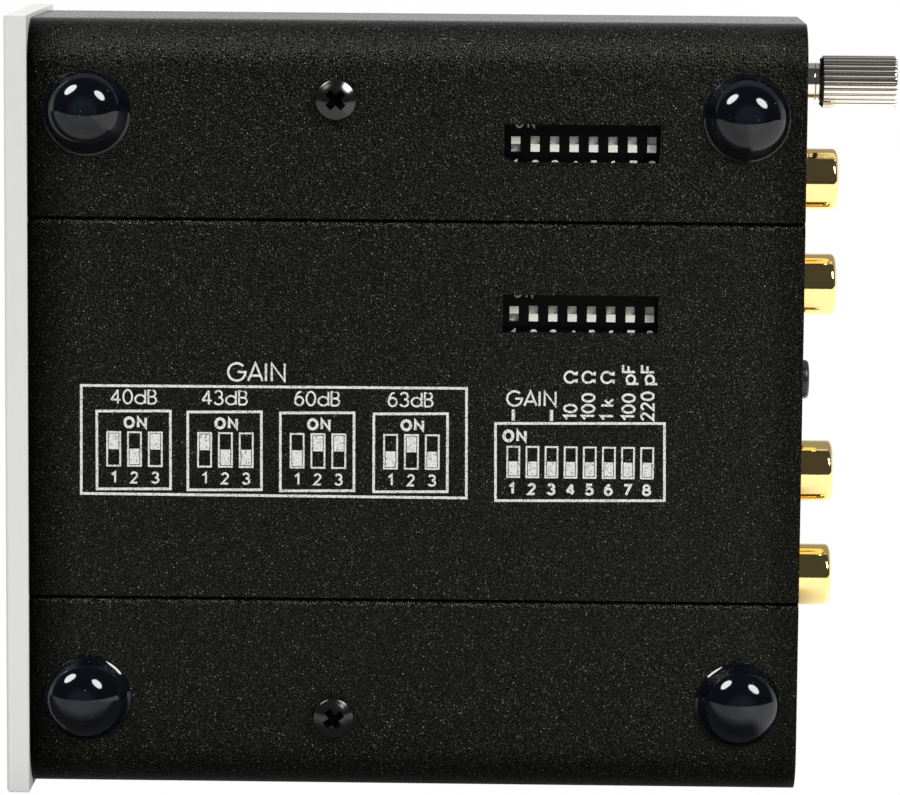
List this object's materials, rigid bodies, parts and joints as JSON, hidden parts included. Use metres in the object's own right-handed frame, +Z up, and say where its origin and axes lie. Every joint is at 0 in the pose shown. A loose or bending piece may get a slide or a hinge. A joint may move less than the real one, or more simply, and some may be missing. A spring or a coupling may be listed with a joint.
{
  "type": "phono preamp",
  "caption": "Small phono preamp in a folded steel case with an aluminium front, domed feet, DIP switches underneath, phono sockets and a ground terminal behind.",
  "frame": {"origin": "on the surface that the feet stand on, under the middle of the whole depth and width", "axes": "the front panel faces -Y, the sockets point along +Y, +X is the right-hand side seen from the front, +Z is up"},
  "size_m": [0.103, 0.1172, 0.0366],
  "materials": {
    "panel_aluminium": "fine satin anodised",
    "case_powder_coat": "textured black powder coat",
    "foot_polyurethane": "glossy dark moulded",
    "screw_steel": "plated",
    "cover_screw_steel": "dark nickel plated",
    "terminal_nickel": "nickel plated, knurled",
    "socket_gold": "polished gold plated",
    "switch_black": "black moulded",
    "slider_white": "white moulded",
    "socket_red": "red moulded",
    "socket_white": "white moulded",
    "button_black": "black moulded",
    "board_laminate": "green solder mask",
    "component_black": "black sleeve or epoxy",
    "component_red": "red dipped",
    "light_lens": "clear diffused",
    "legend_ink": "white screen-printed ink"
  },
  "bodies": {
    "chassis": {"front_panel": "panel_aluminium", "base_tray": "case_powder_coat", "rear_panel": "case_powder_coat", "top_cover": "case_powder_coat", "cover_screws": "cover_screw_steel", "panel_screws": "screw_steel", "board_standoffs": "screw_steel", "board_screws": "screw_steel", "socket_screws": "cover_screw_steel", "circuit_board": "board_laminate", "inner_dip_switch": "switch_black", "outer_dip_switch": "switch_black", "input_socket_block": "switch_black", "output_socket_block": "switch_black", "input_contacts": "socket_gold", "output_contacts": "socket_gold", "power_inlet": "switch_black", "power_inlet_pin": "terminal_nickel", "filter_switch": "switch_black", "ground_post": "terminal_nickel", "ground_hex_nut": "terminal_nickel", "power_light": "light_lens", "electrolytic_capacitors": "component_black", "film_capacitors": "component_red", "op_amps": "component_black", "voltage_regulators": "component_black", "foot_front_left": "foot_polyurethane", "foot_front_right": "foot_polyurethane", "foot_rear_left": "foot_polyurethane", "foot_rear_right": "foot_polyurethane", "input_right_shell": "socket_gold", "input_right_insulator": "socket_red", "input_left_shell": "socket_gold", "input_left_insulator": "socket_white", "output_right_shell": "socket_gold", "output_right_insulator": "socket_red", "output_left_shell": "socket_gold", "output_left_insulator": "socket_white"},
    "inner_slider_1": {"inner_slider_1": "slider_white"},
    "inner_slider_2": {"inner_slider_2": "slider_white"},
    "inner_slider_3": {"inner_slider_3": "slider_white"},
    "inner_slider_4": {"inner_slider_4": "slider_white"},
    "inner_slider_5": {"inner_slider_5": "slider_white"},
    "inner_slider_6": {"inner_slider_6": "slider_white"},
    "inner_slider_7": {"inner_slider_7": "slider_white"},
    "inner_slider_8": {"inner_slider_8": "slider_white"},
    "outer_slider_1": {"outer_slider_1": "slider_white"},
    "outer_slider_2": {"outer_slider_2": "slider_white"},
    "outer_slider_3": {"outer_slider_3": "slider_white"},
    "outer_slider_4": {"outer_slider_4": "slider_white"},
    "outer_slider_5": {"outer_slider_5": "slider_white"},
    "outer_slider_6": {"outer_slider_6": "slider_white"},
    "outer_slider_7": {"outer_slider_7": "slider_white"},
    "outer_slider_8": {"outer_slider_8": "slider_white"},
    "filter_button": {"filter_button": "button_black"},
    "ground_washer": {"ground_washer": "terminal_nickel"},
    "ground_thumb_nut": {"ground_thumb_nut": "terminal_nickel"}
  },
  "joints": [
    {"name": "inner_slider_1_slide", "type": "slide", "parent": "chassis", "child": "inner_slider_1", "axis": [1, 0, 0], "range_m": [-0.001, 0]},
    {"name": "inner_slider_2_slide", "type": "slide", "parent": "chassis", "child": "inner_slider_2", "axis": [1, 0, 0], "range_m": [0, 0.001]},
    {"name": "inner_slider_3_slide", "type": "slide", "parent": "chassis", "child": "inner_slider_3", "axis": [1, 0, 0], "range_m": [0, 0.001]},
    {"name": "inner_slider_4_slide", "type": "slide", "parent": "chassis", "child": "inner_slider_4", "axis": [1, 0, 0], "range_m": [0, 0.001]},
    {"name": "inner_slider_5_slide", "type": "slide", "parent": "chassis", "child": "inner_slider_5", "axis": [1, 0, 0], "range_m": [0, 0.001]},
    {"name": "inner_slider_6_slide", "type": "slide", "parent": "chassis", "child": "inner_slider_6", "axis": [1, 0, 0], "range_m": [0, 0.001]},
    {"name": "inner_slider_7_slide", "type": "slide", "parent": "chassis", "child": "inner_slider_7", "axis": [1, 0, 0], "range_m": [0, 0.001]},
    {"name": "inner_slider_8_slide", "type": "slide", "parent": "chassis", "child": "inner_slider_8", "axis": [1, 0, 0], "range_m": [0, 0.001]},
    {"name": "outer_slider_1_slide", "type": "slide", "parent": "chassis", "child": "outer_slider_1", "axis": [1, 0, 0], "range_m": [-0.001, 0]},
    {"name": "outer_slider_2_slide", "type": "slide", "parent": "chassis", "child": "outer_slider_2", "axis": [1, 0, 0], "range_m": [0, 0.001]},
    {"name": "outer_slider_3_slide", "type": "slide", "parent": "chassis", "child": "outer_slider_3", "axis": [1, 0, 0], "range_m": [0, 0.001]},
    {"name": "outer_slider_4_slide", "type": "slide", "parent": "chassis", "child": "outer_slider_4", "axis": [1, 0, 0], "range_m": [0, 0.001]},
    {"name": "outer_slider_5_slide", "type": "slide", "parent": "chassis", "child": "outer_slider_5", "axis": [1, 0, 0], "range_m": [0, 0.001]},
    {"name": "outer_slider_6_slide", "type": "slide", "parent": "chassis", "child": "outer_slider_6", "axis": [1, 0, 0], "range_m": [0, 0.001]},
    {"name": "outer_slider_7_slide", "type": "slide", "parent": "chassis", "child": "outer_slider_7", "axis": [1, 0, 0], "range_m": [0, 0.001]},
    {"name": "outer_slider_8_slide", "type": "slide", "parent": "chassis", "child": "outer_slider_8", "axis": [1, 0, 0], "range_m": [0, 0.001]},
    {"name": "filter_button_push", "type": "slide", "parent": "chassis", "child": "filter_button", "axis": [0, -1, 0], "range_m": [0, 0.002], "stiffness_N_per_m": 400, "springref_m": -0.0005},
    {"name": "ground_washer_lift", "type": "slide", "parent": "chassis", "child": "ground_washer", "axis": [0, 1, 0], "range_m": [0, 0.0028]},
    {"name": "ground_nut_turn", "type": "hinge", "parent": "ground_washer", "child": "ground_thumb_nut", "pos_m": [0.04285, 0.04832, 0.019], "axis": [0, 1, 0], "range_deg": [0, 1450]}
  ],
  "couplings": [
    {"joint": "ground_nut_turn", "follows": "ground_washer_lift", "rad_per_m": 8976}
  ]
}
